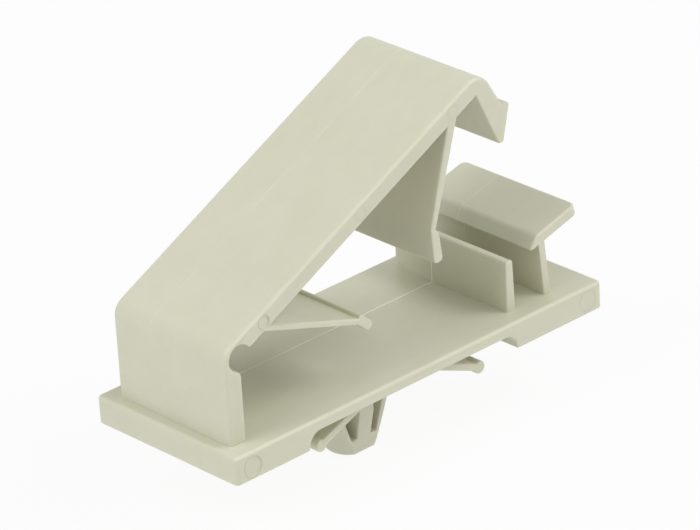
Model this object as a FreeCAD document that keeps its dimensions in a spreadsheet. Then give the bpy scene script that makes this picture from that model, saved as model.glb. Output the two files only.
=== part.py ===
import FreeCAD, Part
import math
import os

import Sketcher

# A one-piece snap-in clip for flat cable: a base with a barbed anchor and two spring wings below,
# and above it a wall, a living hinge, a lid with two leaf springs and a hook, a rib and a catch.
# Frame: X along the clip from hinge to catch, Y across it, Z up. The origin is where the anchor's
# axis crosses the face of the panel. The mould opens along Y, so nearly every form is a profile in
# the XZ plane with a width of its own.

# Driving sizes in millimetres and degrees, each written once
SIZES = {
    # Base plate: its length runs from the hinge's end to a landing beyond the catch
    "anchor_from_end": 29.8,
    "catch_landing": 6.45,
    "side_landing": 2.6,
    "rim_depth": 3.8,
    "floor_thickness": 1.6,
    "recess_length": 35.6,
    "recess_land": 0.2,
    "base_corner": 0.65,
    "base_edge": 0.5,
    # Cable bay and everything above the base
    "body_width": 20.2,
    "bay_length": 44.4,
    # Wall, living hinge and lid
    "wall_setback": 1.6,
    "wall_thickness": 2.5,
    "wall_height": 12.5,
    "hinge_web": 0.75,
    "hinge_round": 2.3,
    "ridge_before_post": 4.11,
    "lid_angle": 26.1,
    "lid_thickness": 2.4,
    "ridge_round": 2.8,
    "side_edge": 0.45,
    "wall_shoulder": 0.9,
    "lid_shoulder": 0.45,
    # Hook at the end of the lid
    "hook_angle": 59.7,
    "hook_length": 6.75,
    "hook_thickness": 2.5,
    "ledge_reach": 1.2,
    "lip_height": 5.05,
    "lip_taper": 1.3,
    "hook_tip": 0.8,
    # Leaf spring beside the hinge
    "lower_leaf_root": 7.1,
    "lower_leaf_angle": 18.3,
    "lower_leaf_length": 15.45,
    "lower_leaf_base": 0.8,
    "lower_leaf_end": 0.8,
    "lower_tip_angle": 41.0,
    "lower_tip_length": 2.55,
    "lower_tip_start": -0.25,
    "lower_tip_above": 1.0,
    "lower_tip_below": 0.35,
    # Leaf spring beside the hook
    "upper_leaf_root": 5.3,
    "upper_leaf_angle": 107.1,
    "upper_leaf_length": 13.7,
    "upper_leaf_base": 1.4,
    "upper_leaf_end": 0.85,
    "upper_tip_angle": 83.0,
    "upper_tip_length": 4.65,
    "upper_tip_start": 0.75,
    "upper_tip_above": 0.85,
    "upper_tip_below": 0.7,
    "tip_round": 0.55,
    # Rib that closes the cable bay, and the catch behind it
    "rib_foot": 1.55,
    "rib_top": 1.2,
    "rib_height": 6.9,
    "slot_width": 5.1,
    "post_foot": 1.2,
    "post_top": 1.0,
    "post_lean": 6.2,
    "catch_drop": 5.35,
    "flange_front": 2.2,
    "flange_length": 9.25,
    "flange_thickness": 1.6,
    "flange_angle": 15.0,
    "nose_run": 1.9,
    "nose_edge": 1.2,
    "lip_round": 0.25,
    "flange_corner": 1.0,
    "small_round": 0.35,
    # Spring wings under the base
    "wing_reach": 13.6,
    "wing_drop": 1.9,
    "wing_angle": 22.0,
    "wing_thickness": 1.0,
    "wing_bead": 0.85,
    # Anchor
    "anchor_depth": 10.8,
    "stem_thickness": 2.4,
    "stem_width": 7.2,
    "stem_straight": 5.0,
    "stem_inset": 0.2,
    "nose_radius": 3.1,
    "nose_round": 0.6,
    "barb_width": 5.6,
    "barb_clear": 3.0,
    "barb_flare": 18.0,
    "barb_thickness": 1.7,
    "window_floor": 2.2,
    # How far a form runs into the one that carries it
    "overlap": 1.3,
}

# Closeness that the choice of edges allows, and one whole turn
TOLERANCE = 0.01
FULL_TURN = 360.0

document = FreeCAD.newDocument("CableClip")
sheet = document.addObject("Spreadsheet::Sheet", "Sizes")
for row, (alias, value) in enumerate(SIZES.items(), start=1):
    sheet.set(f"A{row}", alias)
    sheet.set(f"B{row}", str(value))
    sheet.setAlias(f"B{row}", alias)
document.recompute()

body = document.addObject("PartDesign::Body", "CableClipBody")
body.Label = "cable_clip"
PLANES = {item.Role: item for item in body.Origin.OriginFeatures}

# Places worked out from the sizes, as expressions
HINGE_END = "(-Sizes.anchor_from_end)"
FLOOR_TOP = "Sizes.rim_depth"
FLOOR_UNDER = "(Sizes.rim_depth - Sizes.floor_thickness)"
WALL_OUTER = f"({HINGE_END} + Sizes.wall_setback)"
WALL_INNER = f"({WALL_OUTER} + Sizes.wall_thickness)"
WALL_TOP = f"({FLOOR_TOP} + Sizes.wall_height)"
RIB_FOOT = f"({WALL_INNER} + Sizes.bay_length)"
POST_FOOT = f"({RIB_FOOT} + Sizes.rib_foot + Sizes.slot_width)"
CATCH_END = f"({POST_FOOT} + Sizes.post_foot + Sizes.catch_landing)"
BASE_WIDTH = "(Sizes.body_width + 2 * Sizes.side_landing)"

# Shut, the lid lies flat and its ridge stands short of the post, so its length follows the bay
LID_LENGTH = f"({POST_FOOT} - {WALL_OUTER} - Sizes.ridge_before_post)"
RIDGE_X = f"({WALL_OUTER} + {LID_LENGTH} * cos(Sizes.lid_angle))"
RIDGE_Z = f"({WALL_TOP} + {LID_LENGTH} * sin(Sizes.lid_angle))"
LID_DROP = "(Sizes.lid_thickness / cos(Sizes.lid_angle))"


def lid_under(x):
    """Height of the lid's lower face at a place along X."""
    return f"({WALL_TOP} + ({x} - {WALL_OUTER}) * tan(Sizes.lid_angle) - {LID_DROP})"


def number(expression):
    """Value of an expression over the sheet."""
    return float(body.evalExpression(expression))


def new_sketch(name, plane):
    """An empty sketch on one of the body's own planes."""
    sketch = body.newObject("Sketcher::SketchObject", name)
    sketch.AttachmentSupport = (PLANES[plane], [""])
    sketch.MapMode = "FlatFace"
    return sketch


def outline(name, corners, plane="XZ_Plane"):
    """A closed outline whose corners are held by pairs of expressions."""
    sketch = new_sketch(name, plane)
    points = [FreeCAD.Vector(number(x), number(y), 0) for x, y in corners]
    count = len(points)
    for index, start in enumerate(points):
        sketch.addGeometry(Part.LineSegment(start, points[(index + 1) % count]), False)
    for index in range(count):
        sketch.addConstraint(Sketcher.Constraint("Coincident", index, 2, (index + 1) % count, 1))
    for index, (x, y) in enumerate(corners):
        for kind, expression in (("DistanceX", x), ("DistanceY", y)):
            held = sketch.addConstraint(Sketcher.Constraint(kind, -1, 1, index, 1, number(expression)))
            sketch.setExpression(f"Constraints[{held}]", expression)
    return sketch


def circle(name, centre, radius):
    """A circle whose centre and radius are held by expressions."""
    sketch = new_sketch(name, "XZ_Plane")
    place = FreeCAD.Vector(number(centre[0]), number(centre[1]), 0)
    sketch.addGeometry(Part.Circle(place, FreeCAD.Vector(0, 0, 1), number(radius)), False)
    for kind, expression in (("DistanceX", centre[0]), ("DistanceY", centre[1])):
        held = sketch.addConstraint(Sketcher.Constraint(kind, -1, 1, 0, 3, number(expression)))
        sketch.setExpression(f"Constraints[{held}]", expression)
    held = sketch.addConstraint(Sketcher.Constraint("Radius", 0, number(radius)))
    sketch.setExpression(f"Constraints[{held}]", radius)
    return sketch


def grow(kind, name, sketch, width):
    """A pad or pocket of a sketch, half its width to each side of the sketch's plane."""
    feature = body.newObject(f"PartDesign::{kind}", name)
    feature.Profile = sketch
    feature.SideType = "Symmetric"
    feature.setExpression("Length", width)
    body.Tip = feature
    document.recompute()
    return feature


def mirror(name, features):
    """The same features on the other side of the anchor's axis."""
    feature = body.newObject("PartDesign::Mirrored", name)
    feature.Originals = features
    feature.MirrorPlane = (PLANES["YZ_Plane"], [""])
    body.Tip = feature
    document.recompute()
    return feature


def round_edges(name, radius, chosen):
    """A fillet on each edge of the solid so far that the test chooses."""
    base = body.Tip
    names = [f"Edge{place}" for place, edge in enumerate(base.Shape.Edges, start=1) if chosen(edge)]
    if not names:
        raise RuntimeError(f"{name}: no edge to round")
    feature = body.newObject("PartDesign::Fillet", name)
    feature.Base = (base, names)
    feature.setExpression("Radius", radius)
    body.Tip = feature
    document.recompute()
    return feature


def across_at(corners):
    """Chooses edges that run across the clip through any of the given corners."""
    places = [(number(x), number(z)) for x, z in corners]

    def chosen(edge):
        ends = [vertex.Point for vertex in edge.Vertexes]
        if len(ends) != 2 or abs(ends[0].y - ends[1].y) < TOLERANCE:
            return False
        return any(all(math.hypot(end.x - x, end.z - z) < TOLERANCE for end in ends) for x, z in places)

    return chosen


def through(first, last):
    """Chooses the edges that run along the clip's two sides from one corner to another."""
    places = [(number(x), number(z)) for x, z in (first, last)]

    def chosen(edge):
        ends = [vertex.Point for vertex in edge.Vertexes]
        if len(ends) != 2 or abs(ends[0].y - ends[1].y) > TOLERANCE:
            return False
        return all(any(math.hypot(end.x - x, end.z - z) < TOLERANCE for end in ends) for x, z in places)

    return chosen


def spans(edge, axis):
    """True where an edge runs along one axis only."""
    box = edge.BoundBox
    lengths = {"x": box.XLength, "y": box.YLength, "z": box.ZLength}
    return all((length > TOLERANCE) == (name == axis) for name, length in lengths.items())


def level(edge, height):
    """True where an edge lies at one height."""
    return edge.BoundBox.ZLength < TOLERANCE and abs(edge.BoundBox.ZMin - height) < TOLERANCE


def base_plate():
    """Plate with rounded rims, and a shallow tunnel across its underside for the wings."""
    near, far = f"(-{BASE_WIDTH} / 2)", f"({BASE_WIDTH} / 2)"
    corners = [(HINGE_END, near), (CATCH_END, near), (CATCH_END, far), (HINGE_END, far)]
    plate = body.newObject("PartDesign::Pad", "BasePlate")
    plate.Profile = outline("BaseOutline", corners, "XY_Plane")
    plate.setExpression("Length", "Sizes.rim_depth")
    body.Tip = plate
    document.recompute()
    round_edges("BaseCorners", "Sizes.base_corner", lambda edge: spans(edge, "z"))
    top = number(FLOOR_TOP)
    round_edges("BaseTopEdge", "Sizes.base_edge", lambda edge: level(edge, top))
    half = "Sizes.recess_length / 2"
    low = "(-Sizes.overlap)"
    tunnel = [(f"-{half}", low), (half, low), (half, FLOOR_UNDER), (f"-{half}", FLOOR_UNDER)]
    grow("Pocket", "Recess", outline("RecessOutline", tunnel), f"{BASE_WIDTH} + Sizes.overlap")
    round_edges("RecessRound", f"{FLOOR_UNDER} - Sizes.recess_land", across_at(tunnel[2:]))


def hook_corners():
    """Corners of the hook, from the ridge round its tip to the inner corner under the ridge."""
    slope, drop = "Sizes.lid_angle", "Sizes.hook_angle"
    ledge_x = f"({RIDGE_X} + Sizes.hook_length * cos({drop}))"
    ledge_z = f"({RIDGE_Z} - Sizes.hook_length * sin({drop}))"
    lip_x = f"({ledge_x} + Sizes.ledge_reach)"
    tip_x = f"({lip_x} - Sizes.lip_taper)"
    tip_z = f"({ledge_z} - Sizes.lip_height)"
    lid, hook = "Sizes.lid_thickness", "Sizes.hook_thickness"
    turn = f"sin({slope} + {drop})"
    inner = (f"({RIDGE_X} + ({lid} * cos({drop}) - {hook} * cos({slope})) / {turn})",
             f"({RIDGE_Z} - ({lid} * sin({drop}) + {hook} * sin({slope})) / {turn})")
    return [(RIDGE_X, RIDGE_Z), (ledge_x, ledge_z), (lip_x, ledge_z), (tip_x, tip_z),
            (f"({tip_x} - Sizes.hook_tip)", tip_z), inner]


def cover():
    """Wall, lid and hook as one bent strip, thinned to a living hinge at the wall's top."""
    hook = hook_corners()
    corners = [(WALL_INNER, FLOOR_TOP), (WALL_OUTER, FLOOR_TOP), (WALL_OUTER, WALL_TOP), *hook,
               (WALL_INNER, lid_under(WALL_INNER))]
    grow("Pad", "Cover", outline("CoverOutline", corners), "Sizes.body_width")
    centre = (WALL_INNER, lid_under(WALL_INNER))
    radius = "(Sizes.wall_thickness - Sizes.hinge_web)"
    groove = circle("HingeGrooveCircle", centre, radius)
    grow("Pocket", "HingeGroove", groove, "Sizes.body_width + Sizes.overlap")
    round_edges("HingeRound", "Sizes.hinge_round", across_at([(WALL_OUTER, WALL_TOP)]))
    below = (WALL_INNER, f"({centre[1]} - {radius})")
    beside = (f"({centre[0]} + {radius} * cos(Sizes.lid_angle))",
              f"({centre[1]} + {radius} * sin(Sizes.lid_angle))")
    round_edges("WallShoulder", "Sizes.wall_shoulder", across_at([below]))
    round_edges("LidShoulder", "Sizes.lid_shoulder", across_at([beside]))
    round_edges("RidgeRound", "Sizes.ridge_round", across_at(hook[:1]))
    round_edges("HookRound", "Sizes.small_round", across_at(hook[2:5]))
    round_edges("CoverEdges", "Sizes.side_edge", on_cover_side(hook))


def on_cover_side(hook):
    """Chooses the outer edges at the strip's two ends: up the wall, along the lid and down the hook."""
    half = number("Sizes.body_width / 2")
    path = [(WALL_OUTER, FLOOR_TOP), (WALL_OUTER, WALL_TOP), *hook[:2]]
    line = [(number(x), number(z)) for x, z in path]

    def chosen(edge):
        box, middle = edge.BoundBox, edge.CenterOfMass
        if box.YLength > TOLERANCE or abs(abs(middle.y) - half) > TOLERANCE:
            return False
        for (x1, z1), (x2, z2) in zip(line, line[1:]):
            length = math.hypot(x2 - x1, z2 - z1)
            off = ((middle.x - x1) * (z2 - z1) - (middle.z - z1) * (x2 - x1)) / length
            along = ((middle.x - x1) * (x2 - x1) + (middle.z - z1) * (z2 - z1)) / length
            if abs(off) < TOLERANCE and 0 < along < length:
                return True
        return False

    return chosen


def leaf(name, root_x):
    """A leaf spring under the lid: a tapered blade with a bent tip that stands proud above it."""
    blade, tip = f"Sizes.{name}_leaf_", f"Sizes.{name}_tip_"
    root_z = lid_under(root_x)

    def beside(place, share, angle, offset):
        """A corner at a distance along a direction and an offset to its upper side."""
        return (f"({place[0]} + ({share}) * cos({angle}) + ({offset}) * sin({angle}))",
                f"({place[1]} - ({share}) * sin({angle}) + ({offset}) * cos({angle}))")

    root = (root_x, root_z)
    bend = beside(root, blade + "length", blade + "angle", "0")
    corners = [beside(root, "-Sizes.overlap", blade + "angle", f"{blade}base / 2"),
               beside(bend, "0", blade + "angle", f"{blade}end / 2"),
               beside(bend, tip + "start", tip + "angle", tip + "above"),
               beside(bend, tip + "length", tip + "angle", tip + "above"),
               beside(bend, tip + "length", tip + "angle", f"-{tip}below"),
               beside(bend, "0", blade + "angle", f"-{blade}end / 2"),
               beside(root, "-Sizes.overlap", blade + "angle", f"-{blade}base / 2")]
    title = name.capitalize()
    grow("Pad", f"{title}Leaf", outline(f"{title}LeafOutline", corners), "Sizes.body_width")
    round_edges(f"{title}LeafHeel", "Sizes.small_round", across_at(corners[2:3]))
    round_edges(f"{title}LeafTip", "Sizes.tip_round", across_at(corners[3:5]))


def rib_and_catch():
    """The rib that closes the bay, and the leaning post whose sloped flange holds the hook."""
    top = f"({FLOOR_TOP} + Sizes.rib_height)"
    inset = "(Sizes.rib_foot - Sizes.rib_top) / 2"
    rib_far = f"({RIB_FOOT} + Sizes.rib_foot)"
    rib = [(RIB_FOOT, FLOOR_TOP), (rib_far, FLOOR_TOP),
           (f"{rib_far} - {inset}", top), (f"{RIB_FOOT} + {inset}", top)]
    grow("Pad", "Rib", outline("RibOutline", rib), "Sizes.body_width")
    post_height = "(Sizes.wall_height - Sizes.catch_drop)"
    seat_x = f"({POST_FOOT} + Sizes.post_foot / 2 - {post_height} * tan(Sizes.post_lean))"
    seat_z = f"({FLOOR_TOP} + {post_height})"
    head = f"({seat_z} + Sizes.flange_thickness / 2)"
    half = "Sizes.post_top / 2"
    post = [(POST_FOOT, FLOOR_TOP), (f"{POST_FOOT} + Sizes.post_foot", FLOOR_TOP),
            (f"{seat_x} + {half}", head), (f"{seat_x} - {half}", head)]
    grow("Pad", "CatchPost", outline("CatchPostOutline", post), "Sizes.body_width")
    run, rise = "cos(Sizes.flange_angle)", "sin(Sizes.flange_angle)"

    def on_flange(along, height):
        """A place on the flange, from the post's axis along the slope and up from its lower face."""
        return (f"({seat_x} + ({along}) * {run} - ({height}) * {rise})",
                f"({seat_z} + ({along}) * {rise} + ({height}) * {run})")

    front, back = "-Sizes.flange_front", "Sizes.flange_length - Sizes.flange_front"
    flange = [on_flange(front, "0"), on_flange(back, "0"), on_flange(back, "Sizes.flange_thickness"),
              on_flange(f"{front} + Sizes.nose_run", "Sizes.flange_thickness")]
    grow("Pad", "CatchFlange", outline("CatchFlangeOutline", flange), "Sizes.body_width")
    round_edges("FlangeCorners", "Sizes.flange_corner", through(flange[1], flange[2]))
    round_edges("CatchNose", "Sizes.nose_edge", across_at(flange[3:]))
    round_edges("CatchLip", "Sizes.lip_round", across_at(flange[:1]))
    round_edges("CatchRound", "Sizes.small_round", across_at(flange[1:3] + rib[2:]))


def wings():
    """Two leaf springs with beaded ends, which press down on the panel beside the anchor."""
    rise = f"({FLOOR_UNDER} + Sizes.wing_drop)"
    inner_x = f"(Sizes.wing_reach - {rise} / tan(Sizes.wing_angle))"
    root_x = f"({inner_x} - Sizes.overlap * cos(Sizes.wing_angle))"
    root_z = f"({FLOOR_UNDER} + Sizes.overlap * sin(Sizes.wing_angle))"
    bead = ("Sizes.wing_reach", "(-Sizes.wing_drop)")
    over = "Sizes.wing_thickness / 2 * sin(Sizes.wing_angle)"
    out = "Sizes.wing_thickness / 2 * cos(Sizes.wing_angle)"
    corners = [(f"{root_x} + {over}", f"{root_z} + {out}"), (f"{root_x} - {over}", f"{root_z} - {out}"),
               (f"{bead[0]} - {over}", f"{bead[1]} - {out}"), (f"{bead[0]} + {over}", f"{bead[1]} + {out}")]
    blade = grow("Pad", "Wing", outline("WingOutline", corners), "Sizes.body_width")
    end = grow("Pad", "WingBead", circle("WingBeadCircle", bead, "Sizes.wing_bead"), "Sizes.body_width")
    mirror("OtherWing", [blade, end])


def anchor():
    """A barbed arrowhead on a flat stem, its two barbs free to spring in as it is pushed home."""
    foot, tips = "(-Sizes.anchor_depth)", "(-Sizes.barb_clear)"
    window = f"({foot} + Sizes.window_floor)"
    half, flat = "Sizes.stem_width / 2", "Sizes.barb_width / 2"
    edge = [(half, f"({FLOOR_UNDER} + Sizes.overlap)"), (half, "(-Sizes.stem_straight)"),
            (flat, window), (f"({flat} - Sizes.stem_inset)", foot)]
    stem = edge + [(f"-{y}", z) for y, z in reversed(edge)]
    grow("Pad", "Stem", outline("StemOutline", stem, "YZ_Plane"), "Sizes.stem_thickness")
    slope = "tan(Sizes.barb_flare)"
    reach = f"(Sizes.nose_radius + (Sizes.anchor_depth - Sizes.barb_clear) * {slope})"
    root = f"(Sizes.nose_radius + Sizes.window_floor * {slope} - Sizes.barb_thickness)"
    side = [("Sizes.nose_radius", foot), (reach, tips), (f"({reach} - Sizes.barb_thickness)", tips),
            (root, window), ("Sizes.stem_thickness / 2", window)]
    head = side + [(f"-{x}", z) for x, z in reversed(side)]
    grow("Pad", "Arrowhead", outline("ArrowheadOutline", head), "Sizes.barb_width")
    beyond = f"({reach} + Sizes.barb_width)"
    around = [("Sizes.nose_radius", foot), (reach, tips), (beyond, tips), (beyond, foot)]
    cone = body.newObject("PartDesign::Groove", "ArrowheadCone")
    cone.Profile = outline("ArrowheadConeOutline", around)
    cone.ReferenceAxis = (PLANES["Z_Axis"], [""])
    cone.Angle = FULL_TURN
    body.Tip = cone
    document.recompute()
    bottom = number(foot)
    round_edges("NoseRound", "Sizes.nose_round", lambda edge: level(edge, bottom))


base_plate()
cover()
leaf("lower", f"({WALL_OUTER} + Sizes.lower_leaf_root)")
leaf("upper", f"({RIDGE_X} - Sizes.upper_leaf_root)")
rib_and_catch()
wings()
anchor()

broken = [item.Name for item in document.Objects if "Invalid" in item.State or "Error" in item.State]
if broken:
    raise RuntimeError(f"features that failed: {broken}")
if body.Shape.isNull() or not body.Shape.isValid() or len(body.Shape.Solids) != 1:
    raise RuntimeError("the clip isn't one valid solid")
os.makedirs("parts", exist_ok=True)
body.Shape.exportStep(f"parts/{body.Label}.step")
print(f"{body.Label}: volume {body.Shape.Volume:.1f} mm3, box {body.Shape.BoundBox}")
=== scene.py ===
import logging
import math
from dataclasses import dataclass, field
from enum import Enum
from typing import Any, Callable, Iterable, Optional, Union

import bmesh
import bpy
from mathutils import Matrix, Vector


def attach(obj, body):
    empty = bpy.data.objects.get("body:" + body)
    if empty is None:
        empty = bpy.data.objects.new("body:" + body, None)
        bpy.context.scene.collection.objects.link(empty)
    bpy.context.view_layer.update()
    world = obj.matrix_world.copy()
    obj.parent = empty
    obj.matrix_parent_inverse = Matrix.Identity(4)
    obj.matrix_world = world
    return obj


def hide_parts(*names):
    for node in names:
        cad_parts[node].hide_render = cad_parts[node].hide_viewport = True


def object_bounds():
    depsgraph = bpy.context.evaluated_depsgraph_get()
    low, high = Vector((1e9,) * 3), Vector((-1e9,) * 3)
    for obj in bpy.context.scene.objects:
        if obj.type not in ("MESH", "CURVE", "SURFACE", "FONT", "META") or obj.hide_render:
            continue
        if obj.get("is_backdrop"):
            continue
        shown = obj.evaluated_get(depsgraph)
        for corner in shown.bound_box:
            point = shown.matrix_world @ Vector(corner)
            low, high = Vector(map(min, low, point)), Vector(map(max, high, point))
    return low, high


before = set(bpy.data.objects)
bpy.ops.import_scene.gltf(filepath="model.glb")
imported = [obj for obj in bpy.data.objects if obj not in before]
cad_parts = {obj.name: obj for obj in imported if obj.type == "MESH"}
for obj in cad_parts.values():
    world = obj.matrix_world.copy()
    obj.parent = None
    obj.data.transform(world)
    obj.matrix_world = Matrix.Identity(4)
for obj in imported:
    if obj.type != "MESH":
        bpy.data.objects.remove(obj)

# Lengths are written in millimetres and turned into metres by this factor
MM = 0.001
Point = tuple[float, float, float]
Colour = tuple[float, float, float]
Number = Union[float, "Value"]
log = logging.getLogger("cable_clip")


class Side(Enum):
    """The two outer sides of the moulding, by the sign of their Y."""

    NEAR = -1
    FAR = 1


# Node trees


class Value:
    """A number that flows through a shader tree, with the arithmetic that the finishes use."""

    def __init__(self, tree: "Tree", socket: bpy.types.NodeSocket) -> None:
        """Wraps one output socket.

        Args:
            tree: the tree that the socket belongs to.
            socket: the output that carries the number.
        """
        self.tree = tree
        self.socket = socket

    def _math(self, operation: str, first: Number, second: Number) -> "Value":
        """One Math node.

        Args:
            operation: the node's operation.
            first: its first number.
            second: its second number.

        Returns:
            The node's result.
        """
        node = self.tree.add("ShaderNodeMath", {"operation": operation}, {0: first, 1: second})
        return Value(self.tree, node.outputs[0])

    def __add__(self, other: Number) -> "Value":
        """This number plus another."""
        return self._math("ADD", self, other)

    def __radd__(self, other: Number) -> "Value":
        """Another number plus this one."""
        return self._math("ADD", other, self)

    def __sub__(self, other: Number) -> "Value":
        """This number less another."""
        return self._math("SUBTRACT", self, other)

    def __rsub__(self, other: Number) -> "Value":
        """Another number less this one."""
        return self._math("SUBTRACT", other, self)

    def __mul__(self, other: Number) -> "Value":
        """This number times another."""
        return self._math("MULTIPLY", self, other)

    def __rmul__(self, other: Number) -> "Value":
        """Another number times this one."""
        return self._math("MULTIPLY", other, self)

    def over(self, floor: float, ceiling: float) -> "Value":
        """Where this number lies between two others, from 0 to 1.

        Args:
            floor: the number that becomes 0.
            ceiling: the number that becomes 1.

        Returns:
            The share, held between 0 and 1.
        """
        node = self.tree.add("ShaderNodeMapRange", {"clamp": True},
                             {"Value": self, "From Min": floor, "From Max": ceiling})
        return Value(self.tree, node.outputs["Result"])


class Tree:
    """A node tree that is filled by one method."""

    def __init__(self, nodes: bpy.types.NodeTree) -> None:
        """Takes over a tree and empties it.

        Args:
            nodes: the tree to fill.
        """
        self.nodes = nodes
        self.nodes.nodes.clear()

    def add(self, kind: str, settings: Optional[dict[str, Any]] = None,
            sockets: Optional[dict[Union[str, int], Any]] = None) -> bpy.types.Node:
        """Adds one node.

        Args:
            kind: the node's type.
            settings: its properties, set first.
            sockets: its inputs by name or place, each a value, a Value or an output socket.

        Returns:
            The node.
        """
        node = self.nodes.nodes.new(kind)
        for name, setting in (settings or {}).items():
            setattr(node, name, setting)
        for name, given in (sockets or {}).items():
            source = given.socket if isinstance(given, Value) else given
            if isinstance(source, bpy.types.NodeSocket):
                self.nodes.links.new(source, node.inputs[name])
            else:
                node.inputs[name].default_value = source
        return node


# Finishes


@dataclass(frozen=True)
class Nylon:
    """Natural ivory nylon as it leaves the mould: pale, slightly cloudy, with a satin grain."""

    name: str = "nylon_moulded"
    pale: Colour = (0.655, 0.652, 0.520)
    deep: Colour = (0.625, 0.618, 0.478)
    cloud_scale: float = 0.11
    cloud_range: tuple[float, float] = (0.3, 0.7)
    cloud_share: float = 0.6
    flow_scale: float = 0.5
    flow_stretch: Point = (0.35, 1.0, 1.0)
    flow_range: tuple[float, float] = (0.25, 0.75)
    pit_scale: float = 2.1
    pit_range: tuple[float, float] = (0.66, 0.82)
    pit_tone: float = 0.93
    pit_strength: float = 0.5
    grain_scale: float = 5.5
    grain_height: float = 0.0035
    ripple_height: float = 0.02
    noise_roughness: float = 0.55
    roughness: float = 0.44
    flow_roughness: float = 0.10
    grain_roughness: float = 0.06
    refraction: float = 1.53
    glow: float = 0.22
    glow_reach: Colour = (1.6, 1.25, 0.75)

    def build(self) -> bpy.types.Material:
        """Makes the material.

        Returns:
            The material, with everything that varies worked out from the object's own coordinates.
        """
        material = bpy.data.materials.new(self.name)
        material.use_nodes = True
        tree = Tree(material.node_tree)
        place = tree.add("ShaderNodeTexCoord").outputs["Object"]
        scaled = tree.add("ShaderNodeMapping", {"vector_type": "POINT"},
                          {"Vector": place, "Scale": (1 / MM,) * 3}).outputs["Vector"]
        drawn_out = self._stretched(tree, scaled, self.flow_stretch)
        clouds = self._noise(tree, scaled, scale=self.cloud_scale, detail=3.0)
        flow = self._noise(tree, drawn_out, scale=self.flow_scale, detail=4.0)
        grain = self._noise(tree, scaled, scale=self.grain_scale, detail=2.0)
        pits = self._noise(tree, scaled, scale=self.pit_scale, detail=1.0)
        colour = self._colour(tree, clouds, flow, pits)
        rough = (self.roughness + (flow - 0.5) * self.flow_roughness
                 + (grain - 0.5) * self.grain_roughness)
        normal = self._relief(tree, grain, pits, clouds)
        shader = tree.add("ShaderNodeBsdfPrincipled", None, {
            "Base Color": colour,
            "Roughness": rough,
            "IOR": self.refraction,
            "Subsurface Weight": self.glow,
            "Subsurface Radius": self.glow_reach,
            "Subsurface Scale": MM,
            "Normal": normal,
        })
        tree.add("ShaderNodeOutputMaterial", None, {"Surface": shader.outputs["BSDF"]})
        return material

    def _noise(self, tree: Tree, vector: bpy.types.NodeSocket, scale: float,
               detail: float) -> Value:
        """Smooth noise, with its scale in bumps per millimetre.

        Args:
            tree: the tree to add to.
            vector: coordinates in millimetres.
            scale: bumps per millimetre.
            detail: how many finer layers are added.

        Returns:
            The noise, from 0 to 1.
        """
        node = tree.add("ShaderNodeTexNoise", {"noise_dimensions": "3D"}, {
            "Vector": vector, "Scale": scale, "Detail": detail,
            "Roughness": self.noise_roughness})
        return Value(tree, node.outputs["Fac"])

    @staticmethod
    def _stretched(tree: Tree, vector: bpy.types.NodeSocket,
                   scale: Point) -> bpy.types.NodeSocket:
        """Coordinates drawn out along the flow of the melt.

        Args:
            tree: the tree to add to.
            vector: coordinates in millimetres.
            scale: factor along each axis; a small one draws the pattern out.

        Returns:
            The stretched coordinates.
        """
        node = tree.add("ShaderNodeMapping", {"vector_type": "POINT"},
                        {"Vector": vector, "Scale": scale})
        return node.outputs["Vector"]

    def _colour(self, tree: Tree, clouds: Value, flow: Value,
                pits: Value) -> bpy.types.NodeSocket:
        """Ivory that drifts between two near tones, a touch darker in the pits.

        Args:
            tree: the tree to add to.
            clouds: broad noise.
            flow: noise drawn out along the flow.
            pits: fine noise.

        Returns:
            The colour's socket.
        """
        share = (clouds.over(*self.cloud_range) * self.cloud_share
                 + flow.over(*self.flow_range) * (1.0 - self.cloud_share))
        drift = tree.add("ShaderNodeMix", {"data_type": "RGBA", "blend_type": "MIX"},
                         {"Factor": share, 6: (*self.pale, 1.0), 7: (*self.deep, 1.0)})
        shade = tuple(channel * self.pit_tone for channel in self.deep)
        dark = tree.add("ShaderNodeMix", {"data_type": "RGBA", "blend_type": "MIX"}, {
            "Factor": pits.over(*self.pit_range) * self.pit_strength,
            6: drift.outputs[2], 7: (*shade, 1.0)})
        return dark.outputs[2]

    def _relief(self, tree: Tree, grain: Value, pits: Value,
                clouds: Value) -> bpy.types.NodeSocket:
        """Fine satin grain over a very slight waviness.

        Args:
            tree: the tree to add to.
            grain: the finest noise.
            pits: fine noise.
            clouds: broad noise.

        Returns:
            The normal's socket.
        """
        height = (grain * self.grain_height + pits * self.grain_height
                  + clouds * self.ripple_height) * MM
        bump = tree.add("ShaderNodeBump", None,
                        {"Height": height, "Strength": 1.0, "Distance": 1.0})
        return bump.outputs["Normal"]


@dataclass(frozen=True)
class PaleGround:
    """The studio's ground: white to the camera, with a soft shadow, aglow, and clear from below."""

    name: str = "pale_ground"
    colour: Colour = (0.82, 0.82, 0.82)
    whiteness: float = 0.92
    glow: float = 0.5

    def build(self) -> bpy.types.Material:
        """Makes the material.

        Returns:
            A diffuse ground mixed with plain white, most of all for the camera and reflections.
        """
        material = bpy.data.materials.new(self.name)
        material.use_nodes = True
        tree = Tree(material.node_tree)
        seen = seen_directly(tree)
        matt = tree.add("ShaderNodeBsdfDiffuse", None, {"Color": (*self.colour, 1.0)})
        white = tree.add("ShaderNodeEmission", None,
                         {"Color": (1.0, 1.0, 1.0, 1.0), "Strength": 1.0})
        mixed = tree.add("ShaderNodeMixShader", None, {
            0: seen * (self.whiteness - self.glow) + self.glow,
            1: matt.outputs[0], 2: white.outputs[0]})
        under = tree.add("ShaderNodeNewGeometry").outputs["Backfacing"]
        clear = tree.add("ShaderNodeBsdfTransparent")
        one_sided = tree.add("ShaderNodeMixShader", None, {
            0: under, 1: mixed.outputs[0], 2: clear.outputs[0]})
        tree.add("ShaderNodeOutputMaterial", None, {"Surface": one_sided.outputs[0]})
        return material


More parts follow.
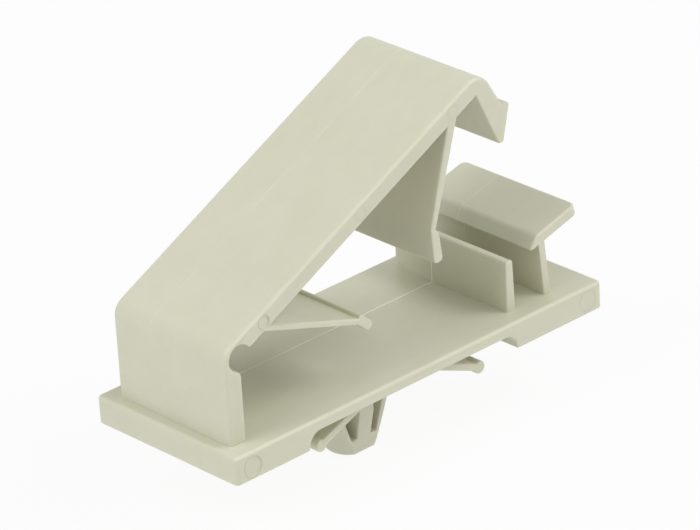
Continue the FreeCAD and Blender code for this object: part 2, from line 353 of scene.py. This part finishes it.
def seen_directly(tree: Tree) -> Value:
    """Share that is 1 for rays from the camera, from a reflection or through something clear.

    Args:
        tree: the tree to add to.

    Returns:
        The share.
    """
    path = tree.add("ShaderNodeLightPath")
    camera = Value(tree, path.outputs["Is Camera Ray"])
    glossy = Value(tree, path.outputs["Is Glossy Ray"])
    through = Value(tree, path.outputs["Is Transmission Ray"])
    return (camera + glossy + through).over(0.0, 1.0)


# Geometry Nodes


class GrownShape:
    """A Geometry Nodes tree built here, run on a start mesh and turned into a plain mesh."""

    def __init__(self, name: str) -> None:
        """Makes an empty tree with a geometry input and output.

        Args:
            name: the tree's name.
        """
        self.group = bpy.data.node_groups.new(name, "GeometryNodeTree")
        self.tree = Tree(self.group)
        for way in ("INPUT", "OUTPUT"):
            self.group.interface.new_socket("Geometry", in_out=way,
                                            socket_type="NodeSocketGeometry")
        self.values: dict[str, Any] = {}
        self.entry: Optional[bpy.types.Node] = None

    def ask(self, name: str, kind: str, value: Any) -> None:
        """Adds a named input and the value that it is given.

        Args:
            name: the input's name.
            kind: the type of its socket.
            value: what the modifier sets it to.
        """
        socket = self.group.interface.new_socket(name, in_out="INPUT", socket_type=kind)
        self.values[socket.identifier] = value

    def begin(self) -> bpy.types.Node:
        """Adds the group's input node once every input is named, and returns it."""
        self.entry = self.tree.add("NodeGroupInput")
        return self.entry

    def end(self, geometry: bpy.types.NodeSocket) -> None:
        """Ends the tree in real meshes with their material.

        Args:
            geometry: what the tree has made.
        """
        real = self.tree.add("GeometryNodeRealizeInstances", None, {"Geometry": geometry})
        dressed = self.tree.add("GeometryNodeSetMaterial", None, {
            "Geometry": real.outputs["Geometry"], "Material": self.entry.outputs["Finish"]})
        self.tree.add("NodeGroupOutput", None, {"Geometry": dressed.outputs["Geometry"]})

    def run(self, name: str, start: bpy.types.Mesh) -> bpy.types.Object:
        """Runs the tree on a start mesh.

        Args:
            name: the name of the piece.
            start: the points or edges that the tree works from.

        Returns:
            An object with a plain mesh and no modifier.
        """
        seed = new_object(f"{name}_start", start)
        modifier = seed.modifiers.new("grow", "NODES")
        modifier.node_group = self.group
        for identifier, value in self.values.items():
            modifier[identifier] = value
        mesh = evaluated_mesh(seed)
        mesh.name = name
        seed.modifiers.clear()
        bpy.data.objects.remove(seed)
        return new_object(name, mesh)


def new_object(name: str, mesh: bpy.types.Mesh) -> bpy.types.Object:
    """Puts a mesh into the scene as an object at the origin.

    Args:
        name: the object's name.
        mesh: its mesh.

    Returns:
        The object.
    """
    piece = bpy.data.objects.new(name, mesh)
    bpy.context.scene.collection.objects.link(piece)
    return piece


def attribute(tree: Tree, name: str, kind: str = "FLOAT") -> bpy.types.NodeSocket:
    """One of the start mesh's own attributes.

    Args:
        tree: the tree to add to.
        name: the attribute's name.
        kind: the type of its data.

    Returns:
        The attribute's socket.
    """
    node = tree.add("GeometryNodeInputNamedAttribute", {"data_type": kind}, {"Name": name})
    return node.outputs["Attribute"]


def beaded(tree: Tree, path: bpy.types.NodeSocket, radius: bpy.types.NodeSocket,
           sides: bpy.types.NodeSocket, fullness: Union[float, bpy.types.NodeSocket]
           ) -> bpy.types.NodeSocket:
    """Runs a thin round bead along curves.

    Args:
        tree: the tree to add to.
        path: the curves.
        radius: the bead's full radius.
        sides: how many sides the bead has.
        fullness: the share of the full radius at each point.

    Returns:
        The bead's mesh, shaded smooth.
    """
    section = tree.add("GeometryNodeCurvePrimitiveCircle", {"mode": "RADIUS"},
                       {"Resolution": sides, "Radius": radius})
    bead = tree.add("GeometryNodeCurveToMesh", None, {
        "Curve": path, "Profile Curve": section.outputs["Curve"], "Scale": fullness,
        "Fill Caps": True})
    smooth = tree.add("GeometryNodeSetShadeSmooth", None, {"Geometry": bead.outputs["Mesh"]})
    return smooth.outputs["Geometry"]


def evaluated_mesh(piece: bpy.types.Object) -> bpy.types.Mesh:
    """A plain copy of an object's mesh with its modifiers applied.

    Args:
        piece: the object.

    Returns:
        The new mesh.
    """
    graph = bpy.context.evaluated_depsgraph_get()
    return bpy.data.meshes.new_from_object(piece.evaluated_get(graph), depsgraph=graph)


# The clip


@dataclass(frozen=True)
class PinMark:
    """A round witness that an ejector pin leaves on a side face, in millimetres."""

    x: float
    z: float
    radius: float
    half_width: float
    side: Side
    fullness: float = 1.0

    @property
    def place(self) -> Vector:
        """The mark's centre on the side face, in metres."""
        return Vector((self.x, self.side.value * self.half_width, self.z)) * MM


@dataclass
class PinMarks:
    """The shallow round recesses of the ejector pins, each inside a fine raised ring."""

    recess_depth: float = 0.09
    recess_draft: float = 0.06
    recess_sides: int = 48
    ring_gap: float = 0.1
    ring_radius: float = 0.045
    ring_sides: int = 8
    marks: tuple[PinMark, ...] = (
        PinMark(-27.1, 1.75, 1.3, 12.7, Side.NEAR),
        PinMark(30.4, 1.85, 1.3, 12.7, Side.NEAR, fullness=0.5),
        PinMark(-21.6, 18.16, 0.8, 10.1, Side.NEAR),
        PinMark(-5.0, 26.33, 0.8, 10.1, Side.NEAR, fullness=0.5),
        PinMark(11.1, 34.2, 0.8, 10.1, Side.NEAR, fullness=0.35),
    )

    def cutters(self, finish: bpy.types.Material) -> bpy.types.Object:
        """Flat cones, one at each mark, half sunk into the face, that cut the recesses.

        Args:
            finish: the nylon.

        Returns:
            An object that holds all the cones.
        """
        shape = GrownShape("pin_recess")
        shape.ask("Recess depth", "NodeSocketFloat", self.recess_depth * MM)
        shape.ask("Draft", "NodeSocketFloat", self.recess_draft)
        shape.ask("Sides", "NodeSocketInt", self.recess_sides)
        shape.ask("Finish", "NodeSocketMaterial", finish)
        entry = shape.begin()
        tree = shape.tree
        depth = entry.outputs["Recess depth"]
        draft = entry.outputs["Draft"]
        low = tree.add("ShaderNodeMath", {"operation": "SUBTRACT"}, {0: 1.0, 1: draft})
        high = tree.add("ShaderNodeMath", {"operation": "ADD"}, {0: 1.0, 1: draft})
        length = tree.add("ShaderNodeMath", {"operation": "MULTIPLY"}, {0: depth, 1: 2.0})
        cone = tree.add("GeometryNodeMeshCone", None, {
            "Vertices": entry.outputs["Sides"], "Radius Top": high.outputs[0],
            "Radius Bottom": low.outputs[0], "Depth": length.outputs[0]})
        offset = tree.add("ShaderNodeMath", {"operation": "MULTIPLY"}, {0: depth, 1: -1.0})
        down = tree.add("ShaderNodeCombineXYZ", None, {"Z": offset.outputs[0]})
        sunk = tree.add("GeometryNodeTransform", None, {
            "Geometry": cone.outputs["Mesh"], "Translation": down.outputs[0]})
        shape.end(self._at_marks(tree, entry, sunk.outputs["Geometry"]))
        return shape.run("pin_cutters", self._points(0.0))

    def rings(self, finish: bpy.types.Material) -> bpy.types.Object:
        """The fine raised ring round each recess.

        Args:
            finish: the nylon.

        Returns:
            The piece.
        """
        shape = GrownShape("pin_ring")
        shape.ask("Ring radius", "NodeSocketFloat", self.ring_radius * MM)
        shape.ask("Ring sides", "NodeSocketInt", self.ring_sides)
        shape.ask("Steps", "NodeSocketInt", self.recess_sides)
        shape.ask("Finish", "NodeSocketMaterial", finish)
        entry = shape.begin()
        tree = shape.tree
        circle = tree.add("GeometryNodeCurvePrimitiveCircle", {"mode": "RADIUS"}, {
            "Resolution": entry.outputs["Steps"], "Radius": 1.0})
        placed = tree.add("GeometryNodeRealizeInstances", None, {
            "Geometry": self._at_marks(tree, entry, circle.outputs["Curve"])})
        shape.end(beaded(tree, placed.outputs["Geometry"], entry.outputs["Ring radius"],
                         entry.outputs["Ring sides"], attribute(tree, "mark_fullness")))
        return shape.run("pin_rings", self._points(self.ring_gap))

    def touches(self, place: Vector) -> bool:
        """True for a place inside one of the marks or on its edge."""
        # Twice the draft reaches just past the wide end of the cone
        reach = (1.0 + 2.0 * self.recess_draft) * MM
        return any((place - mark.place).length < mark.radius * reach for mark in self.marks)

    @staticmethod
    def _at_marks(tree: Tree, entry: bpy.types.Node,
                  shape: bpy.types.NodeSocket) -> bpy.types.NodeSocket:
        """Puts one copy of a shape at each mark, turned outwards and scaled to the mark.

        Args:
            tree: the tree to add to.
            entry: the group's input node.
            shape: a shape of radius 1 that points along Z.

        Returns:
            The instances.
        """
        radius = attribute(tree, "mark_radius")
        turn = tree.add("FunctionNodeAlignRotationToVector", {"axis": "Z"},
                        {"Vector": attribute(tree, "mark_outward", "FLOAT_VECTOR")})
        size = tree.add("ShaderNodeCombineXYZ", None, {
            "X": radius, "Y": radius, "Z": attribute(tree, "mark_fullness")})
        placed = tree.add("GeometryNodeInstanceOnPoints", None, {
            "Points": entry.outputs["Geometry"], "Instance": shape,
            "Rotation": turn.outputs["Rotation"], "Scale": size.outputs[0]})
        return placed.outputs["Instances"]

    def _points(self, wider: float) -> bpy.types.Mesh:
        """The marks as loose points with their radius, outward direction and fullness.

        Args:
            wider: what is added to each radius, in millimetres.

        Returns:
            A mesh of points.
        """
        mesh = bpy.data.meshes.new("pin_points")
        mesh.from_pydata([mark.place for mark in self.marks], [], [])
        for name, kind in (("mark_radius", "FLOAT"), ("mark_fullness", "FLOAT"),
                           ("mark_outward", "FLOAT_VECTOR")):
            mesh.attributes.new(name, kind, "POINT")
        for index, mark in enumerate(self.marks):
            mesh.attributes["mark_radius"].data[index].value = (mark.radius + wider) * MM
            mesh.attributes["mark_fullness"].data[index].value = mark.fullness
            mesh.attributes["mark_outward"].data[index].vector = (0.0, mark.side.value, 0.0)
        return mesh


@dataclass
class Moulding:
    """The clip's one moulding: the CAD solid with its pins' recesses and its edges eased."""

    node: str = "cable_clip"
    merge_within: float = 0.01
    same_plane: float = 0.5
    edge_radius: float = 0.2
    edge_steps: int = 3
    edge_angle: float = 45.0
    crease_angle: float = 25.0
    face_weight: int = 60
    marks: PinMarks = field(default_factory=PinMarks)

    def build(self, finish: bpy.types.Material) -> bpy.types.Object:
        """Makes the moulding from the CAD solid.

        Args:
            finish: the nylon.

        Returns:
            The finished piece.
        """
        piece = new_object("moulding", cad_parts[self.node].data.copy())
        piece.data.name = "moulding"
        piece.data.materials.clear()
        piece.data.materials.append(finish)
        self._rework(piece.data, self._merge)
        self._recess_marks(piece, finish)
        self._rework(piece.data, self._ease_edges)
        self._shade(piece)
        return piece

    @staticmethod
    def _rework(mesh: bpy.types.Mesh, change: Callable[[bmesh.types.BMesh], None]) -> None:
        """Changes a mesh in place.

        Args:
            mesh: the mesh.
            change: what is done to it.
        """
        work = bmesh.new()
        work.from_mesh(mesh)
        change(work)
        work.to_mesh(mesh)
        work.free()
        mesh.update()

    def _merge(self, work: bmesh.types.BMesh) -> None:
        """Joins the solid's loose triangles and makes its flat faces whole again."""
        bmesh.ops.remove_doubles(work, verts=work.verts, dist=self.merge_within * MM)
        self._flatten(work)

    def _flatten(self, work: bmesh.types.BMesh) -> None:
        """Takes away the edges between faces that lie in one plane."""
        bmesh.ops.dissolve_limit(work, angle_limit=math.radians(self.same_plane),
                                 verts=work.verts, edges=work.edges)

    def _ease_edges(self, work: bmesh.types.BMesh) -> None:
        """Rounds every sharp outer edge by the small radius that a mould's cavity leaves.

        Args:
            work: the moulding so far.
        """
        self._flatten(work)
        least = math.radians(self.edge_angle)
        sharp = [edge for edge in work.edges
                 if edge.is_manifold and edge.is_convex and edge.calc_face_angle(0.0) > least
                 and not all(self.marks.touches(vert.co) for vert in edge.verts)]
        bmesh.ops.bevel(work, geom=sharp, offset=self.edge_radius * MM, offset_type="OFFSET",
                        segments=self.edge_steps, profile=0.5, affect="EDGES",
                        clamp_overlap=False)

    def _recess_marks(self, piece: bpy.types.Object, finish: bpy.types.Material) -> None:
        """Cuts the shallow round recesses of the ejector pins.

        Args:
            piece: the moulding so far.
            finish: the nylon, also for the recesses.
        """
        cutters = self.marks.cutters(finish)
        cut = piece.modifiers.new("pin_recesses", "BOOLEAN")
        cut.operation = "DIFFERENCE"
        cut.solver = "EXACT"
        cut.object = cutters
        piece.data = evaluated_mesh(piece)
        piece.modifiers.clear()
        bpy.data.objects.remove(cutters)

    def _shade(self, piece: bpy.types.Object) -> None:
        """Smooth shading whose normals follow the large faces and break at inner corners.

        Args:
            piece: the moulding.
        """
        piece.data.shade_smooth()
        piece.data.set_sharp_from_angle(angle=math.radians(self.crease_angle))
        weighted = piece.modifiers.new("even_normals", "WEIGHTED_NORMAL")
        weighted.keep_sharp = True
        weighted.weight = self.face_weight


@dataclass(frozen=True)
class Stretch:
    """A stretch of the parting line: where it lies in the profile and how full it is there."""

    x_from: float
    x_to: float
    z_from: float
    z_to: float
    share: float

    def holds(self, place: Vector) -> bool:
        """True for a place within the stretch."""
        x, z = place.x / MM, place.z / MM
        return self.x_from < x < self.x_to and self.z_from < z < self.z_to


@dataclass
class PartingLine:
    """The thin raised line where the two halves of the mould met, round the profile except across
    the wall.
    """

    across: float = 3.4
    bead_radius: float = 0.07
    bead_sides: int = 8
    step: float = 0.5
    cut_within: float = 0.001
    on_plane_within: float = 0.002
    bumps: float = 0.25
    bump_detail: float = 2.0
    thinnest: float = 0.1
    steadiness: float = 0.3
    uneven_between: tuple[float, float] = (0.52, 0.78)
    faint_share: float = 0.25
    stretches: tuple[Stretch, ...] = (
        Stretch(-31.0, -25.5, -1.0, 15.5, 0.0),
        Stretch(-25.6, 19.2, 3.0, 9.6, 1.0),
        Stretch(19.1, 33.1, 3.0, 16.0, 0.42),
    )

    def build(self, moulding: bpy.types.Object, finish: bpy.types.Material) -> bpy.types.Object:
        """Makes the line along the moulding's own section.

        Args:
            moulding: the finished moulding.
            finish: the nylon of the witness lines, paler than the moulding as a painted highlight
                along the bead.

        Returns:
            The piece.
        """
        shape = GrownShape("parting_bead")
        shape.ask("Bead radius", "NodeSocketFloat", self.bead_radius * MM)
        shape.ask("Bead sides", "NodeSocketInt", self.bead_sides)
        shape.ask("Bumps per metre", "NodeSocketFloat", self.bumps / MM)
        shape.ask("Thinnest", "NodeSocketFloat", self.thinnest)
        shape.ask("Steadiness", "NodeSocketFloat", self.steadiness)
        shape.ask("Finish", "NodeSocketMaterial", finish)
        entry = shape.begin()
        tree = shape.tree
        path = tree.add("GeometryNodeMeshToCurve", None, {"Mesh": entry.outputs["Geometry"]})
        noise = tree.add("ShaderNodeTexNoise", {"noise_dimensions": "3D"},
                         {"Scale": entry.outputs["Bumps per metre"], "Detail": self.bump_detail})
        share = attribute(tree, "line_share")
        steady = tree.add("ShaderNodeMath", {"operation": "MULTIPLY_ADD"}, {
            0: share, 1: entry.outputs["Steadiness"], 2: noise.outputs[0]})
        low, high = self.uneven_between
        uneven = tree.add("ShaderNodeMapRange", {"clamp": True}, {
            "Value": steady.outputs[0], "From Min": low, "From Max": high,
            "To Min": entry.outputs["Thinnest"], "To Max": 1.0})
        thickness = tree.add("ShaderNodeMath", {"operation": "MULTIPLY"},
                             {0: uneven.outputs["Result"], 1: share})
        shape.end(beaded(tree, path.outputs["Curve"], entry.outputs["Bead radius"],
                         entry.outputs["Bead sides"], thickness.outputs[0]))
        return shape.run("parting_line", self._section(moulding))

    def _section(self, moulding: bpy.types.Object) -> bpy.types.Mesh:
        """The moulding's outline in the plane where the mould parts.

        Args:
            moulding: the finished moulding.

        Returns:
            A mesh of edges, each point with the line's share of its full thickness there.
        """
        height = self.across * MM
        work = bmesh.new()
        work.from_mesh(moulding.data)
        everything = [*work.verts, *work.edges, *work.faces]
        cut = bmesh.ops.bisect_plane(work, geom=everything, dist=self.cut_within * MM,
                                     plane_co=(0, height, 0), plane_no=(0, 1, 0))
        outline = [item for item in cut["geom_cut"] if isinstance(item, bmesh.types.BMEdge)]
        for edge in outline:
            pieces = math.ceil(edge.calc_length() / (self.step * MM))
            if pieces > 1:
                bmesh.ops.subdivide_edges(work, edges=[edge], cuts=pieces - 1)
        near = self.on_plane_within * MM
        edges = [edge for edge in work.edges
                 if all(abs(vert.co.y - height) < near and self._share(vert.co) > 0
                        for vert in edge.verts)]
        verts = list(dict.fromkeys(vert for edge in edges for vert in edge.verts))
        order = {vert: index for index, vert in enumerate(verts)}
        mesh = bpy.data.meshes.new("parting_section")
        mesh.from_pydata([vert.co for vert in verts],
                         [(order[edge.verts[0]], order[edge.verts[1]]) for edge in edges], [])
        share = mesh.attributes.new("line_share", "FLOAT", "POINT")
        for vert, index in order.items():
            share.data[index].value = self._share(vert.co)
        work.free()
        return mesh

    def _share(self, place: Vector) -> float:
        """The line's share of its full thickness at a place of the section."""
        return next((stretch.share for stretch in self.stretches if stretch.holds(place)),
                    self.faint_share)


# The studio


def direction(azimuth: float, elevation: float) -> Vector:
    """A direction away from the clip.

    Args:
        azimuth: degrees from the clip's near side, positive towards the catch.
        elevation: degrees above the ground.

    Returns:
        A vector of length 1.
    """
    turn, rise = math.radians(azimuth), math.radians(elevation)
    return Vector((math.sin(turn) * math.cos(rise), -math.cos(turn) * math.cos(rise),
                   math.sin(rise)))


@dataclass(frozen=True)
class Camera:
    """The camera that the photo's straight edges give: where it stands and how it is turned."""

    aim: Point = (2.2, 0.0, 10.0)
    azimuth: float = -41.96
    elevation: float = 26.13
    roll: float = -3.48
    distance: float = 628.5
    shift_right: float = -0.47
    shift_up: float = 3.16
    lens: float = 260.28
    sensor: float = 36.0

    def build(self) -> None:
        """Makes the scene's camera."""
        back = direction(self.azimuth, self.elevation)
        turn, lean = math.radians(self.azimuth), math.radians(self.roll)
        level = Vector((math.cos(turn), math.sin(turn), 0.0))
        upright = back.cross(level)
        right = math.cos(lean) * level + math.sin(lean) * upright
        up = math.cos(lean) * upright - math.sin(lean) * level
        place = (Vector(self.aim) + self.shift_right * right + self.shift_up * up
                 + self.distance * back)
        data = bpy.data.cameras.new("camera")
        data.lens = self.lens
        data.sensor_width = self.sensor
        data.sensor_fit = "HORIZONTAL"
        data.clip_start = 0.01
        data.clip_end = 20.0
        camera = bpy.data.objects.new("camera", data)
        bpy.context.scene.collection.objects.link(camera)
        axes = Matrix((right, up, back)).transposed().to_4x4()
        camera.matrix_world = Matrix.Translation(place * MM) @ axes
        bpy.context.scene.camera = camera


@dataclass(frozen=True)
class Lamp:
    """A soft area lamp, placed by direction and distance from the clip."""

    name: str
    azimuth: float
    elevation: float
    distance: float
    size: float
    power: float

    def build(self) -> None:
        """Makes the lamp and turns it to the clip."""
        away = direction(self.azimuth, self.elevation)
        data = bpy.data.lights.new(self.name, "AREA")
        data.shape = "DISK"
        data.size = self.size
        data.energy = self.power
        lamp = bpy.data.objects.new(self.name, data)
        bpy.context.scene.collection.objects.link(lamp)
        lamp.matrix_world = (Matrix.Translation(away * self.distance)
                             @ away.to_track_quat("Z", "Y").to_matrix().to_4x4())


@dataclass
class Studio:
    """A pale ground, a pale surround, soft lamps and the camera."""

    clearance: float = 0.4
    ground_size: float = 4000.0
    surround: float = 0.36
    camera: Camera = Camera()
    lamps: tuple[Lamp, ...] = (
        Lamp("left_high", azimuth=-100.0, elevation=45.0, distance=0.9, size=0.5, power=2.65),
        Lamp("left_low", azimuth=-100.0, elevation=15.0, distance=0.9, size=0.5, power=0.51),
        Lamp("top_left", azimuth=-60.0, elevation=60.0, distance=0.9, size=0.5, power=0.55),
        Lamp("front", azimuth=0.0, elevation=35.0, distance=0.9, size=0.5, power=1.00),
        Lamp("right_high", azimuth=45.0, elevation=45.0, distance=0.9, size=0.5, power=3.10),
    )

    def build(self) -> None:
        """Makes the ground, the surround, the lamps and the camera."""
        self._ground()
        self._world()
        for lamp in self.lamps:
            lamp.build()
        self.camera.build()
        bpy.context.scene.view_settings.view_transform = "Standard"

    def _ground(self) -> None:
        """Lays the ground just under the clip's lowest point."""
        low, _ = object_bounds()
        half = self.ground_size * MM / 2
        height = low.z - self.clearance * MM
        mesh = bpy.data.meshes.new("ground")
        outline = [(-half, -half), (half, -half), (half, half), (-half, half)]
        mesh.from_pydata([(x, y, height) for x, y in outline], [], [(0, 1, 2, 3)])
        mesh.materials.append(PaleGround().build())
        new_object("ground", mesh)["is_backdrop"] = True

    def _world(self) -> None:
        """A pale surround that the camera and reflections see as white."""
        world = bpy.data.worlds.new("surround")
        world.use_nodes = True
        bpy.context.scene.world = world
        tree = Tree(world.node_tree)
        seen = seen_directly(tree)
        strength = self.surround + seen * (1.0 - self.surround)
        back = tree.add("ShaderNodeBackground", None, {
            "Color": (1.0, 1.0, 1.0, 1.0), "Strength": strength})
        tree.add("ShaderNodeOutputWorld", None, {"Surface": back.outputs["Background"]})


@dataclass
class Clip:
    """The whole clip: its moulding and the witness lines and rings on it."""

    slot: str = "nylon"
    body: str = "root"
    nylon: Nylon = Nylon()
    # The witness finish is much paler than the nylon: a painted highlight along the real raised
    # parting bead.
    witness: Nylon = Nylon(name="nylon_witness_painted_highlight", pale=(0.92, 0.91, 0.81),
                           deep=(0.90, 0.89, 0.79), glow=0.0)
    moulding: Moulding = field(default_factory=Moulding)
    parting_line: PartingLine = field(default_factory=PartingLine)

    def build(self) -> None:
        """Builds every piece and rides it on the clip's one body."""
        nylon = self.nylon.build()
        body = self.moulding.build(nylon)
        line = self.parting_line.build(body, self.witness.build())
        rings = self.moulding.marks.rings(nylon)
        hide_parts(self.moulding.node)
        for piece in (body, line, rings):
            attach(piece, self.body)
            report(piece)


def report(piece: bpy.types.Object) -> None:
    """Logs a piece's name and size.

    Args:
        piece: the finished piece.
    """
    mesh = piece.data
    log.info("%s: %d points, %d faces", piece.name, len(mesh.vertices), len(mesh.polygons))


def main() -> None:
    """Builds the clip and its studio."""
    logging.basicConfig(level=logging.INFO, format="%(name)s: %(message)s")
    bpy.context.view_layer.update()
    Clip().build()
    Studio().build()


if __name__ == "__main__":
    main()
